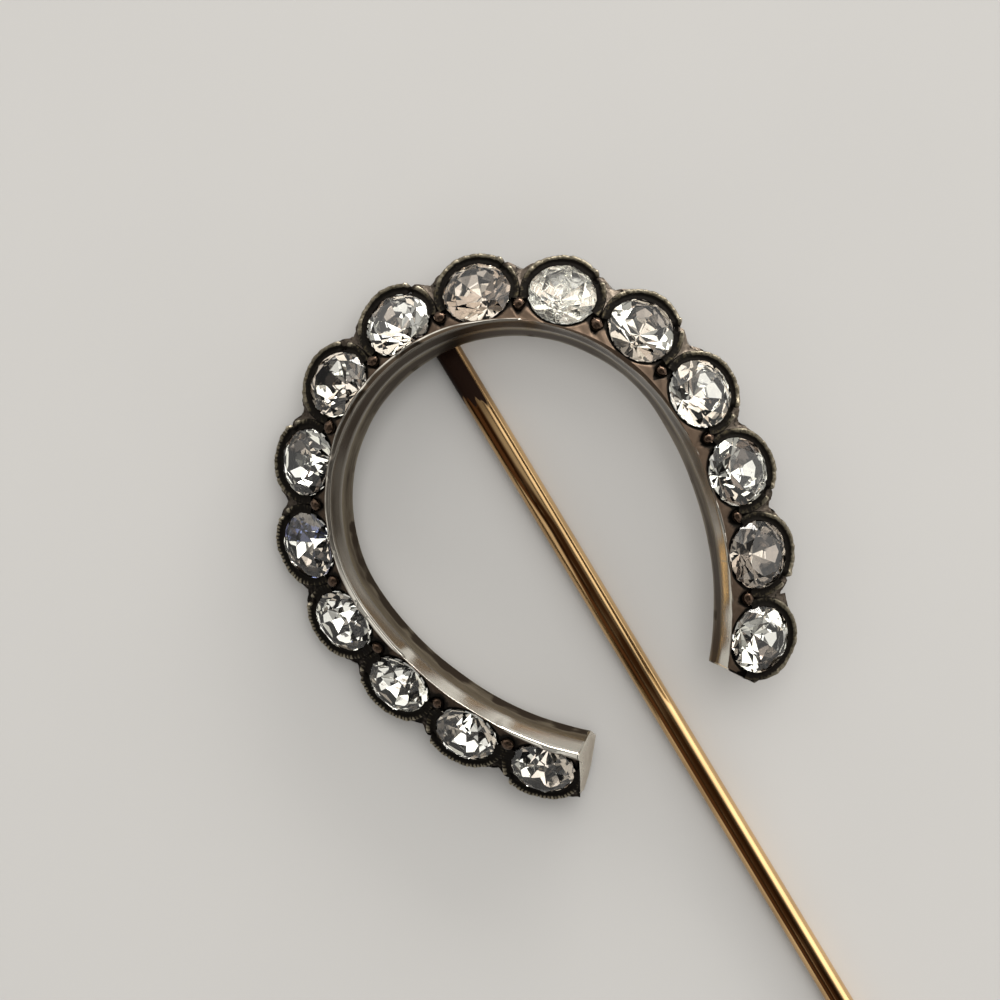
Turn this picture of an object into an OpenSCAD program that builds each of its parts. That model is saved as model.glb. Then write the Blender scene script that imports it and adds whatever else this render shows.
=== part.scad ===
// Horseshoe stick pin: a scalloped silver head set with a row of round
// old-cut stones, on a plain round stem that is soldered behind the arch.
// It lies as it rests by itself: on the stem and on the left limb's back edge.
// Millimetres, +Z up, origin at the middle of the footprint on the surface.

/* [Horseshoe] */
// Radius of the row of stones round the arch
arch_r = 8.7; // [8.2:0.1:9.8]
// Radius of the row of stones down the left limb
left_limb_r = 15.3; // [13:0.1:24]
// Radius of the row of stones down the right limb, which is a little straighter
right_limb_r = 16.6; // [13:0.1:24]
// Outward slope of the front face, in degrees
front_slope = 36; // [28:1:42]
// Depth of the flat back under the row of stones
back_depth = 1.65; // [1.5:0.05:2.6]
// Reach of the band outside the row of stones
band_out = 0.95; // [0.7:0.05:1.1]
// Length of the left limb past the middle of its last stone
left_end_length = 1.65; // [1.6:0.05:2]
// Slant of the left limb's cut inside the row of stones, in degrees
left_end_slant = 8; // [0:1:30]
// Slant of the left limb's cut outside the row, where it is square
left_end_turn = 0; // [0:1:10]
// Length of the right limb past the middle of its last stone
right_end_length = 1.9; // [1.8:0.05:2.2]
// Slant of the right limb's cut inside the row of stones, in degrees
right_end_slant = 21; // [0:1:30]
// Slant of the right limb's cut outside the row, where it runs into the last rim
right_end_turn = 42; // [35:1:50]
// Lean of both cuts, so that they can be seen from the front, in degrees
end_lean = 12; // [0:1:20]

/* [Inner wall] */
// Ledge between a stone's seat and the rim of the wall
ledge_w = 0.04; // [0.02:0.01:0.4]
// Width of the upper facet, seen from the front
chamfer_w = 0.38; // [0.2:0.02:0.6]
// Height of the upper facet
chamfer_h = 0.65; // [0.4:0.05:0.9]
// Width of the lower facet, seen from the front
wall_w = 0.35; // [0.15:0.05:0.6]
// Height of the lower facet
wall_h = 0.75; // [0.4:0.05:0.9]
// Width of the bevel round the back
back_bevel_w = 0.45; // [0.2:0.05:0.6]

/* [Stones] */
// Diameter of a stone at its girdle
stone_d = 2.86; // [2.6:0.02:3]
// Diameter of the flat table
table_d = 1.7; // [1.1:0.05:1.8]
// Height of the crown above the girdle
crown_h = 0.42; // [0.25:0.01:0.55]
// Thickness of the girdle
girdle_h = 0.08; // [0.04:0.01:0.12]
// Depth of the pavilion below the girdle
pavilion_h = 1.3; // [1:0.05:1.4]
// Reach of the stars, as a share of the way from the table to the girdle
star_share = 0.4; // [0.3:0.05:0.6]
// Inner end of the lower halves, as a share of the stone's radius
half_share = 0.8; // [0.4:0.02:0.84]
// Turn of a stone's facets from those of the one before, in degrees
stone_spin = 137.5; // [0:0.5:180]

/* [Setting] */
// Clearance between a stone and its seat
stone_gap = 0.03; // [0.02:0.01:0.06]
// Wall of the scalloped rim round the outside of a stone
rim_w = 0.27; // [0.2:0.01:0.4]
// Height of that rim above the front face
rim_h = 0.22; // [0.1:0.02:0.35]
// Gap between neighbouring rims, above the face that joins them
rim_gap = 0.02; // [0.02:0.01:0.1]

/* [Grains] */
// Diameter of the grain between two stones
grain_d = 0.46; // [0.36:0.02:0.5]
// Distance of a grain inside the row of stones
grain_in = 0.6; // [0.45:0.05:0.8]
// Width of the cut moat round a grain
moat_w = 0.06; // [0.04:0.01:0.08]
// Depth of the moat
moat_h = 0.16; // [0.08:0.02:0.3]

/* [Stem] */
// Diameter of the stem where it is soldered behind the arch
neck_d = 1.1; // [0.9:0.02:1.4]
// Length over which it narrows to the free stem
neck_length = 24; // [12:1:28]
// Diameter of the free stem
pin_d = 1.04; // [0.8:0.02:1.3]
// Length of the stem
pin_length = 64; // [50:1:90]
// Length of the taper to the point
taper_length = 9; // [5:0.5:14]
// Diameter of the blunted point
point_d = 0.16; // [0.1:0.02:0.3]
// Distance of the stem to the right of the middle stone
pin_shift = 0.9; // [0.3:0.05:1.2]
// Turn of the head on the stem, in degrees
pin_turn = 2.1; // [0:0.1:3]
// Reach of the stem past the row of stones, behind the arch
pin_reach = 0.5; // [0.2:0.1:0.7]
// Solder between the stem's filed flat and the back
solder_gap = 0.02; // [0.01:0.01:0.05]
// Depth of the filed flat at the top of the stem
flat_depth = 0.12; // [0.06:0.02:0.2]

/* [Hidden] */
stone_count = 15;
stone_names = [for (i = [1:stone_count]) str("stone_", i < 10 ? "0" : "", i)];

neck_r = neck_d / 2;
seat_r = stone_d / 2 + stone_gap;
scallop_r = seat_r + rim_w;
pitch = 2 * scallop_r + rim_gap;
half_count = (stone_count - 1) / 2;
last_stone = half_count * pitch;
quarter = arch_r * PI / 2;
sides = 96;
arc_sides = 4 * sides;
grain_sides = 32;
mains = 8;
overlap = 0.3;
far = 4 * arch_r;

// Section of the band: distance outside the row of stones, then height; it runs
// on under the back, which is cut flat last
rim_off = -(seat_r * cos(front_slope) + ledge_w);
rim_top = -rim_off * tan(front_slope);
ridge_off = rim_off - chamfer_w;
ridge_z = rim_top - chamfer_h;
belly_off = ridge_off - wall_w;
belly_z = ridge_z - wall_h;
uncut_depth = back_depth + overlap;
uncut_bevel_w = back_bevel_w * (belly_z + uncut_depth) / (belly_z + back_depth);
band_section = [
    [band_out, -uncut_depth],
    [band_out, -band_out * tan(front_slope)],
    [rim_off, rim_top],
    [ridge_off, ridge_z],
    [belly_off, belly_z],
    [belly_off + uncut_bevel_w, -uncut_depth]
];

// A place on the row of stones, by its distance along the row from the
// middle stone, plus to the right; turn is the angle from straight up
function limb_r(s) = s < 0 ? left_limb_r : right_limb_r;
function row_turn(s) = abs(s) <= quarter
    ? s / arch_r * 180 / PI
    : sign(s) * (90 + (abs(s) - quarter) / limb_r(s) * 180 / PI);
function row_point(s) = abs(s) <= quarter
    ? arch_r * [sin(row_turn(s)), cos(row_turn(s)), 0]
    : [sign(s) * (arch_r - limb_r(s)), 0, 0]
        + limb_r(s) * [sin(row_turn(s)), cos(row_turn(s)), 0];
function stone_axis(s) = [
    sin(row_turn(s)) * sin(front_slope),
    cos(row_turn(s)) * sin(front_slope),
    cos(front_slope)
];
function stone_place(i) = (i - half_count) * pitch;

// How the head sits on the stem, and how far it rolls to rest on its left limb
foot_out = max(band_out, scallop_r * cos(front_slope)
    - (back_depth - scallop_r * sin(front_slope)) * tan(front_slope));
head_x = -pin_shift + arch_r * sin(pin_turn);
head_z = back_depth + solder_gap + neck_r - flat_depth;
foot_x = arch_r + foot_out - head_x;
foot_z = head_z - back_depth;
head_roll = atan(foot_z / foot_x) + asin(neck_r / norm([foot_x, foot_z]));

function turned(v) = [
    v.x * cos(pin_turn) - v.y * sin(pin_turn),
    v.x * sin(pin_turn) + v.y * cos(pin_turn),
    v.z
];
function rolled(v) = [
    v.x * cos(head_roll) - v.z * sin(head_roll),
    v.y,
    v.x * sin(head_roll) + v.z * cos(head_roll)
];
head_move = [head_x, arch_r * (1 - cos(pin_turn)), head_z];
function posed(p) = rolled(turned(p) + head_move);

// Footprint of the whole pin, from the scalloped rims and the point
rim_mid = [for (i = [0:stone_count - 1]) let (s = stone_place(i))
    posed(row_point(s) + stone_axis(s) * rim_h)];
rim_axis = [for (i = [0:stone_count - 1]) rolled(turned(stone_axis(stone_place(i))))];
function reach(axis_part) = scallop_r * sqrt(1 - axis_part * axis_part);
x_low = min([for (i = [0:stone_count - 1]) rim_mid[i].x - reach(rim_axis[i].x)]);
x_high = max([for (i = [0:stone_count - 1]) rim_mid[i].x + reach(rim_axis[i].x)]);
y_high = max([for (i = [0:stone_count - 1]) rim_mid[i].y + reach(rim_axis[i].y)]);
pin_top = arch_r + pin_reach;
y_low = pin_top - pin_length;
part_shift = [-(x_low + x_high) / 2, -(y_low + y_high) / 2, neck_r];

module on_head() {
    translate(part_shift) rotate([0, -head_roll, 0]) translate(head_move)
        rotate([0, 0, pin_turn]) children();
}

// Local frame at a place on the row: +Y outward, +X along the row
module on_row(s) {
    translate(row_point(s)) rotate([0, 0, -row_turn(s)]) children();
}

// The same frame tipped to the front face, +Z along a stone's axis
module on_front(s) {
    on_row(s) rotate([-front_slope, 0, 0]) children();
}

module band_arc(radius, from, turn) {
    rotate_extrude(angle = turn, start = from, $fn = arc_sides)
        translate([radius, 0]) polygon(band_section);
}

// A stretch of limb from one turn of the row to another; side is 1 or -1
module limb_stretch(side, from, to) {
    radius = limb_r(side);
    translate([side * (arch_r - radius), 0, 0])
        band_arc(radius, side > 0 ? 90 - to : 90 + from, to - from);
}

// What a limb keeps inside its end cut, which leans about the middle of the
// band's height and is slanted inside the row of stones and outside it
module inside_cut(side) {
    length = side < 0 ? left_end_length : right_end_length;
    slant = side < 0 ? left_end_slant : right_end_slant;
    turn = side < 0 ? left_end_turn : right_end_turn;
    inside = arch_r / 2;
    outside = 2 * band_out;
    on_row(side * last_stone) translate([0, 0, (rim_top - back_depth) / 2])
        rotate([0, -side * end_lean, 0]) translate([0, 0, -far / 2]) linear_extrude(far)
            polygon([
                [-side * inside, -inside],
                [side * (length - tan(slant) * inside), -inside],
                [side * length, 0],
                [side * (length - tan(turn) * outside), outside],
                [-side * inside, outside]
            ]);
}

// Past the last stone the limb runs on to its end cut
module limb_end(side) {
    last_turn = row_turn(last_stone * side) * side;
    turn_on = 2 * right_end_length / limb_r(side) * 180 / PI;
    intersection() {
        limb_stretch(side, last_turn, last_turn + turn_on);
        inside_cut(side);
    }
}

module band() {
    band_arc(arch_r, 0, 180);
    for (side = [-1, 1]) {
        limb_stretch(side, 90, row_turn(last_stone * side) * side);
        limb_end(side);
    }
}

// Outer half of the cup round a stone, from under the back to its raised rim
module scallop() {
    cup_h = 2 * back_depth;
    translate([0, 0, -cup_h]) linear_extrude(cup_h + rim_h) intersection() {
        circle(r = scallop_r, $fn = sides);
        translate([-2 * scallop_r, 0]) square([4 * scallop_r, 2 * scallop_r]);
    }
}

// Everything past the plane between two stones, on the side given by its sign
module past_cusp(s, side) {
    on_row(s + side * pitch / 2)
        translate([side * (far - rim_gap) / 2, 0, 0]) cube(far, center = true);
}

// The first scallop is cut flat with the end of its limb, and the last one runs round it
module scallops() {
    intersection() {
        difference() {
            on_front(stone_place(0)) scallop();
            past_cusp(stone_place(0), 1);
        }
        inside_cut(-1);
    }
    for (i = [1:stone_count - 1]) let (s = stone_place(i)) difference() {
        on_front(s) scallop();
        past_cusp(s, -1);
        if (i < stone_count - 1) past_cusp(s, 1);
    }
}

module under_back() {
    translate([0, 0, -back_depth - far / 2]) cube(far, center = true);
}

// Straight wall round the girdle and a blunt cone under it, both a clearance off the stone
module stone_seat() {
    cone_top = -girdle_h / 2 - stone_gap;
    cone_tip = cone_top - pavilion_h - stone_gap;
    tip_r = 8 * stone_gap;
    rotate_extrude($fn = sides) polygon([
        [0, cone_tip],
        [tip_r, cone_tip],
        [seat_r, cone_top],
        [seat_r, cone_top + stone_d],
        [0, cone_top + stone_d]
    ]);
}

module grain() {
    sphere(d = grain_d, $fn = grain_sides);
}

module moat() {
    translate([0, 0, -moat_h])
        cylinder(d = grain_d + 2 * moat_w, h = stone_d, $fn = grain_sides);
}

module setting() {
    color("#8d857a") on_head() {
        difference() {
            union() {
                band();
                scallops();
            }
            under_back();
            for (i = [0:stone_count - 1]) on_front(stone_place(i)) stone_seat();
            for (i = [1:stone_count - 1])
                on_front(stone_place(i - 0.5)) translate([0, -grain_in, 0]) moat();
        }
        for (i = [1:stone_count - 1])
            on_front(stone_place(i - 0.5)) translate([0, -grain_in, -moat_h / 2]) grain();
    }
}

// Old-cut round stone: eight-sided table, eight stars, eight kites and
// sixteen halves over the girdle, and eight mains and sixteen halves under it
module cut_stone() {
    stone_r = stone_d / 2;
    table_r = table_d / 2;
    half_turn = 180 / mains;
    top_z = girdle_h / 2 + crown_h;
    low_z = -girdle_h / 2 - pavilion_h;
    star_r = table_r + (stone_r - table_r) * star_share;
    star_z = top_z - (star_r * cos(half_turn) - table_r) * crown_h / (stone_r - table_r);
    half_r = stone_r * half_share;
    half_z = low_z + half_r * cos(half_turn) * pavilion_h / stone_r;
    function ring(r, z, n, first) = [for (k = [0:n - 1])
        [r * cos(first + k * 360 / n), r * sin(first + k * 360 / n), z]];
    points = concat(
        ring(table_r, top_z, mains, 0),
        ring(star_r, star_z, mains, half_turn),
        ring(stone_r, girdle_h / 2, 2 * mains, 0),
        ring(stone_r, -girdle_h / 2, 2 * mains, 0),
        ring(half_r, half_z, mains, half_turn),
        [[0, 0, low_z]]
    );
    // Where each ring starts in the list, then the next and previous place in it
    star = mains;
    upper = 2 * mains;
    lower = 4 * mains;
    half = 6 * mains;
    culet = 7 * mains;
    function after(k) = (k + 1) % mains;
    function before(k) = (k + mains - 1) % mains;
    function beyond(j) = (j + 1) % (2 * mains);
    each_main = [0:mains - 1];
    faces = concat(
        [[for (k = each_main) mains - 1 - k]],
        [for (k = each_main) [k, after(k), star + k]],
        [for (k = each_main) [k, star + k, upper + 2 * k, star + before(k)]],
        [for (k = each_main) [star + k, upper + 2 * k + 1, upper + 2 * k]],
        [for (k = each_main) [star + k, upper + 2 * after(k), upper + 2 * k + 1]],
        [for (j = [0:2 * mains - 1]) [upper + j, upper + beyond(j), lower + beyond(j), lower + j]],
        [for (k = each_main) [half + k, lower + 2 * k, lower + 2 * k + 1]],
        [for (k = each_main) [half + k, lower + 2 * k + 1, lower + 2 * after(k)]],
        [for (k = each_main) [half + k, culet, half + before(k), lower + 2 * k]]
    );
    polyhedron(points, faces);
}

// Each stone was set as it came, so its facets point their own way
module stone(i) {
    color("#dfe6ea") on_head() on_front(stone_place(i))
        rotate([0, 0, stone_spin * i]) cut_stone();
}

module stem() {
    flat_length = pin_reach + abs(belly_off) + overlap;
    color("#b5803c") translate(part_shift) difference() {
        translate([0, pin_top, 0]) rotate([90, 0, 0]) rotate_extrude($fn = sides) polygon([
            [0, 0],
            [neck_r, 0],
            [pin_d / 2, neck_length],
            [pin_d / 2, pin_length - taper_length],
            [point_d / 2, pin_length],
            [0, pin_length]
        ]);
        rotate([0, -head_roll, 0])
            translate([-neck_d, pin_top - flat_length, neck_r - flat_depth])
                cube([2 * neck_d, 2 * flat_length, neck_d]);
    }
}

setting();
stem();
for (i = [0:stone_count - 1]) stone(i);
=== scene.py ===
import math

import bmesh
import bpy
import numpy as np
from mathutils import Matrix, Vector


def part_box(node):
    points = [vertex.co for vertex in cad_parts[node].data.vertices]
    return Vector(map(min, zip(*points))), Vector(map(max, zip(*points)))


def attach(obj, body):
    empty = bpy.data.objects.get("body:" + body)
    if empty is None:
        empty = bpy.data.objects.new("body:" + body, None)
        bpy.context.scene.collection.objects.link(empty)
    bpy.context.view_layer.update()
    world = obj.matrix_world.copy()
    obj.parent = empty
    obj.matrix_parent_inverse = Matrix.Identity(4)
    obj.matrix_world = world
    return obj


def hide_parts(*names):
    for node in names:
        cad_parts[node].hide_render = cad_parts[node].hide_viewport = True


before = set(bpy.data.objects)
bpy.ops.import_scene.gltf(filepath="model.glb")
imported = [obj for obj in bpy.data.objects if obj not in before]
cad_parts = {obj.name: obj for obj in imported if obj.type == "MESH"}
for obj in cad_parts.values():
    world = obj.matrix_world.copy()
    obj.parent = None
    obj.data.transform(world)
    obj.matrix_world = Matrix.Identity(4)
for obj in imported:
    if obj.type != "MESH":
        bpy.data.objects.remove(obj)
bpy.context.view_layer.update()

# Horseshoe stick pin: the looks of the head, its stones and its stem.
# Lengths are millimetres until a matrix puts a mesh into the frame, which is in metres.
MM = 0.001

# Sizes that the solids have
ARCH_R = 8.7
LEFT_LIMB_R = 15.3
RIGHT_LIMB_R = 16.6
SLOPE = math.radians(36)
BACK_DEPTH = 1.65
BAND_OUT = 0.95
LEFT_END_LENGTH = 1.65
LEFT_END_SLANT = math.radians(8)
LEFT_END_TURN = 0
RIGHT_END_LENGTH = 1.9
RIGHT_END_SLANT = math.radians(21)
RIGHT_END_TURN = math.radians(42)
END_LEAN = math.radians(12)
STONE_COUNT = 15
STONE_R = 1.43
TABLE_R = 0.85
CROWN_H = 0.42
GIRDLE_H = 0.08
PAVILION_H = 1.3
STAR_SHARE = 0.4
HALF_SHARE = 0.8
STONE_SPIN = 137.5
SEAT_R = 1.46
SCALLOP_R = 1.73
PITCH = 3.48
LEDGE_W = 0.04
CHAMFER_W = 0.38
CHAMFER_H = 0.65
WALL_W = 0.35
WALL_H = 0.75
BEVEL_W = 0.45
GRAIN_IN = 0.6
NECK_R = 0.55
PIN_R = 0.52
POINT_R = 0.08
NECK_LENGTH = 24
TAPER_LENGTH = 9
PIN_LENGTH = 64
PIN_SHIFT = 0.9
PIN_TURN = math.radians(2.1)
PIN_REACH = 0.5
SOLDER_GAP = 0.02
FLAT_DEPTH = 0.12
FLAT_LENGTH = 2.75

# Finer sizes, seen on the surface only
GRAIN_R = 0.29
PIT_R = 0.44
PIT_DEPTH = 0.25
PIT_EDGE = 0.12
GROOVE_DEPTH = 0.06
FIELD_H = 0.15
GRIT_H = 0.07
BEAD_PITCH = 0.18
BEAD_H = 0.04
EDGE_ROUND = 0.04
ROUND_MIDDLE = 0.28
RIDGE_R = 1.64
LIP_W = 0.05
LIP_H = 0.015
NOTCH_W = 0.17
NOTCH_DEPTH = 0.26
NOTCH_ANGLE = 36
NOTCH_STRAY = 8
LUMP_H = 0.06
RIM_SWEEP = math.radians(24)
RIM_FADE = (math.radians(2), math.radians(38))
CULET_R = 0.12
SEAM_W = 0.05
SOLDER_END = 5.0
SOLDER_RAGGED = 0.35
DRAWN_UNDER = 0.004

# How finely the sheets are divided
BAND_COLUMNS = 441
BAND_STEPS = 4
FRONT_RINGS = 12
FRONT_ANGLES = 100
CUP_ANGLES = 48
RIM_COLUMNS = 191
RIM_WALL_ROWS = 6
GRAIN_COLUMNS = 22
GRAIN_ROWS = 11
END_COLUMNS = 24
STEM_COLUMNS = 80
STEM_ROWS = (14, 150, 40)

QUARTER = ARCH_R * math.pi / 2
LAST_STONE = (STONE_COUNT - 1) / 2 * PITCH
RIM_OFF = -(SEAT_R * math.cos(SLOPE) + LEDGE_W)
RIDGE_OFF = RIM_OFF - CHAMFER_W
BELLY_OFF = RIDGE_OFF - WALL_W
RIM_Z = -RIM_OFF * math.tan(SLOPE)
RIDGE_Z = RIM_Z - CHAMFER_H
BELLY_Z = RIDGE_Z - WALL_H
MID_Z = (RIM_Z - BACK_DEPTH) / 2
CROWN_SLOPE = CROWN_H / (STONE_R - TABLE_R)
UP = np.array([0, 0, 1.0])
SHOULDER_PLACE = 10.5
VALLEY_DEPTH = 0.22
VALLEY_W = 0.5
SEAM_PLACES = (-22.4, -19.9, 20.9)

# Uneven handwork: the seed and the length of the waves in each line or face
RIM_WAVE = (3, 5.0)
RIDGE_WAVE = (11, 17.0)
BELLY_WAVE = (5, 9.0)
RUBBED_WAVE = (37, 2.1)
UPPER_WAVE = (35, 6.0)
LOWER_WAVE = (36, 5.0)
FOOT_WAVE = (31, 4.0)
STREAK_WAVE = (33, 3.0)
FACE_WAVE = (21, 1.1)
FINE_GRIT_WAVE = (25, 0.45)
GRIT_WAVE = (27, 0.6)
SOOT_WAVE = (23, 1.3)
LIP_WAVE = (90, 1.3)
WORN_BEAD_WAVE = (60, 0.23)
RIM_HEIGHT_WAVE = (80, 1.9)
FINE_HEIGHT_WAVE = (81, 0.31)
RIM_REACH_WAVE = (70, 1.1)
SOLDER_WAVE = (7, 0.5)
GOLD_WAVE = (9, 6.0)
RIM_SEED = 40
GRAIN_SEED = 100
STONE_SEED = 200


def stem_top():
    """Middle of the stem's top end in the part's frame, in metres."""
    low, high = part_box("stem")
    return (low.x + high.x) / 2, high.y, NECK_R * MM


def head_matrix():
    """From the head's own frame, flat with its apex to +Y, to the part's frame, in metres."""
    head_x = -PIN_SHIFT + ARCH_R * math.sin(PIN_TURN)
    head_z = BACK_DEPTH + SOLDER_GAP + NECK_R - FLAT_DEPTH
    foot_x = ARCH_R + BAND_OUT - head_x
    foot_z = head_z - BACK_DEPTH
    roll = math.atan(foot_z / foot_x) + math.asin(NECK_R / math.hypot(foot_x, foot_z))
    on_stem = Matrix.Translation((head_x, ARCH_R * (1 - math.cos(PIN_TURN)), head_z))
    stem_x, stem_y, _ = stem_top()
    arch = Matrix.Translation((stem_x / MM, stem_y / MM - ARCH_R - PIN_REACH, NECK_R))
    rolled = Matrix.Rotation(-roll, 4, "Y")
    turned = Matrix.Rotation(PIN_TURN, 4, "Z")
    return Matrix.Scale(MM, 4) @ arch @ rolled @ on_stem @ turned


HEAD = head_matrix()


# The row of stones: s is the distance along it from the middle stone, plus to the right
def limb_radius(s):
    return np.where(s < 0, LEFT_LIMB_R, RIGHT_LIMB_R)


def row_turn(s):
    past = np.sign(s) * np.maximum(np.abs(s) - QUARTER, 0)
    return np.clip(s, -QUARTER, QUARTER) / ARCH_R + past / limb_radius(s)


def row_axes(s):
    """Directions along the row and out of the horseshoe."""
    turn = row_turn(s)
    flat = np.zeros_like(turn)
    along = np.stack([np.cos(turn), -np.sin(turn), flat], -1)
    out = np.stack([np.sin(turn), np.cos(turn), flat], -1)
    return along, out


def row_point(s):
    past = np.abs(s) > QUARTER
    radius = np.where(past, limb_radius(s), ARCH_R)
    point = row_axes(s)[1] * radius[..., None]
    point[..., 0] += np.where(past, np.sign(s) * (ARCH_R - radius), 0)
    return point


def band_point(s, off, z):
    """A point of the band: distance out of the row of stones, then height."""
    s, off, z = np.broadcast_arrays(np.asarray(s, float), off, z)
    return row_point(s) + off[..., None] * row_axes(s)[1] + z[..., None] * UP


def slope_point(s, v, h):
    """A point of the front face: v runs down its slope from the row, h stands off it."""
    off = v * math.cos(SLOPE) + h * math.sin(SLOPE)
    return band_point(s, off, h * math.cos(SLOPE) - v * math.sin(SLOPE))


def stone_point(s, x, y, h):
    """A point in a stone's own frame: x along the row, y down the slope, h along its axis."""
    s = np.full(np.shape(x), float(s))
    along, out = row_axes(s)
    down = out * math.cos(SLOPE) - UP * math.sin(SLOPE)
    axis = out * math.sin(SLOPE) + UP * math.cos(SLOPE)
    x, y, h = (np.broadcast_to(c, np.shape(s))[..., None] for c in (x, y, h))
    return row_point(s) + x * along + y * down + h * axis


def stone_place(index):
    return (index - (STONE_COUNT - 1) / 2) * PITCH


def grid(x, y, z):
    """Points from their three parts, spread over one grid."""
    return np.stack(np.broadcast_arrays(x, y, z), -1)


def once_round(count):
    return np.linspace(-math.pi, math.pi, count, endpoint=False)


def from_valley(s):
    """Distance along the row from the middle between the two nearest stones."""
    return np.abs((s / PITCH) % 1 - 0.5) * PITCH


def smooth(low, high, value):
    """0 below low, 1 above high, with a soft step between them."""
    t = np.clip((value - low) / (high - low), 0, 1)
    return t * t * (3 - 2 * t)


def bell(away, width, power=2):
    """1 in the middle, falling off to 0 on both sides at about this width."""
    return np.exp(-(away / width) ** power)


def wobble(place, seed, length, index=0):
    """Uneven handwork along a line: from -1 to 1, with waves of about this length."""
    wave = np.random.default_rng(seed + index)
    total = 0
    for octave in (1.0, 0.53, 0.31):
        total = total + octave * np.sin(2 * math.pi * place / (length * octave) + wave.uniform(0, 6.28))
    return total / 1.84


class Shell:
    """Grows one mesh out of sheets of points, each with its finish, wear and stains."""

    def __init__(self):
        self.points, self.places, self.wear, self.stain = [], [], [], []
        self.faces, self.finish = [], []
        self.count = 0

    def sheet(self, points, places, finish, wear=0.0, stain=0.0, closed=False):
        """Rows of points become quads; closed joins the last column to the first."""
        rows, columns = points.shape[:2]
        index = self.count + np.arange(rows * columns).reshape(rows, columns)
        if closed:
            index = np.hstack([index, index[:, :1]])
        quads = np.stack([index[:-1, :-1], index[:-1, 1:], index[1:, 1:], index[1:, :-1]], -1)
        self.points.append(points.reshape(-1, 3))
        self.places.append(places.reshape(-1, 3))
        self.wear.append(np.broadcast_to(wear, (rows, columns)).ravel())
        self.stain.append(np.broadcast_to(stain, (rows, columns)).ravel())
        self.faces.append(quads.reshape(-1, 4))
        self.finish.append(np.broadcast_to(finish, index[1:, 1:].shape).ravel())
        self.count += rows * columns

    def mesh(self, name, matrix):
        mesh = bpy.data.meshes.new(name)
        points = np.concatenate(self.points)
        faces = np.concatenate(self.faces)
        mesh.from_pydata(points.tolist(), [], faces.tolist())
        mesh.transform(matrix)
        mesh.polygons.foreach_set("material_index", np.concatenate(self.finish).astype(np.int32))
        for label, values in (("wear", self.wear), ("stain", self.stain)):
            spread = mesh.attributes.new(label, "FLOAT", "POINT")
            spread.data.foreach_set("value", np.concatenate(values).astype(np.float32))
        place = mesh.attributes.new("place", "FLOAT_VECTOR", "POINT")
        place.data.foreach_set("vector", np.concatenate(self.places).astype(np.float32).ravel())
        weld(mesh)
        mesh.shade_smooth()
        return mesh


def weld(mesh):
    """Joins sheets where their edges meet, and drops the quads that closed up."""
    form = bmesh.new()
    form.from_mesh(mesh)
    bmesh.ops.remove_doubles(form, verts=form.verts, dist=0.002 * MM)
    bmesh.ops.dissolve_degenerate(form, edges=form.edges, dist=0.0005 * MM)
    form.to_mesh(mesh)
    form.free()


def add_object(name, data):
    thing = bpy.data.objects.new(name, data)
    bpy.context.scene.collection.objects.link(thing)
    return thing


def make_piece(name, mesh, materials, slot, *nodes):
    """Puts a mesh in the scene on the part's body, in place of the solids it stands for."""
    piece = add_object(name, mesh)
    for material in materials:
        mesh.materials.append(material)
    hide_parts(*nodes)
    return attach(piece, "root")


# The setting
WALL_UPPER, WALL_LOWER, LEDGE, FIELD, RIM, GRAIN, CUP, BACK, LIMB_END = range(9)


def end_reach(side, off, z):
    """How far a limb runs past its last stone, to its slanted and leaning cut."""
    left = np.less(side, 0)
    length = np.where(left, LEFT_END_LENGTH, RIGHT_END_LENGTH)
    inner = length + off * np.where(left, math.tan(LEFT_END_SLANT), math.tan(RIGHT_END_SLANT))
    outer = length - off * np.where(left, math.tan(LEFT_END_TURN), math.tan(RIGHT_END_TURN))
    return np.where(off < 0, inner, outer) / math.cos(END_LEAN) - (z - MID_Z) * math.tan(END_LEAN)


def along_band(u, off, z):
    """Place along the row, for u from -1 at one cut end to 1 at the other."""
    reach = end_reach(u, off, z) / (1 + off / limb_radius(u))
    return u * (LAST_STONE + reach)


def shoulder(s, width):
    """1 in the middle of the right shoulder, where the ledge is widest, down to 0 past it."""
    return bell(s - SHOULDER_PLACE, width)


# How far the wall's rim strays towards the stones, at places along the row
RIM_LINE = np.array([
    [-27, 0.28], [-25, 0.22], [-21.5, 0.0], [-18, -0.02], [-14, 0.18], [-9, 0.16],
    [-4, 0.3], [0, 0.24], [4, 0.1], [8, -0.1], [12, -0.19], [15, 0.0], [18, 0.07], [27, 0.0]
])

SMOOTHING = (-1.0, -0.5, 0.0, 0.5, 1.0)
GRAIN_DIP = 0.02
RIM_STRAY = 0.012


def rim_shift(s):
    """The wall's rim was filed by hand: it laps the stones at the arch and stands off at the right."""
    steps = [np.interp(s + move, *RIM_LINE.T) for move in SMOOTHING]
    grains = -GRAIN_DIP * np.cos(2 * math.pi * s / PITCH)
    return np.mean(steps, axis=0) + grains + RIM_STRAY * wobble(s, *RIM_WAVE)


VALLEYS_END = (0.3, 0.9)


def band_reach(s):
    """Reach of the band past the row: it dips to a valley between two rims."""
    ending = smooth(*VALLEYS_END, np.abs(s) - LAST_STONE)
    return BAND_OUT - VALLEY_DEPTH * (1 - smooth(0, VALLEY_W, from_valley(s))) * (1 - ending)


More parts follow.
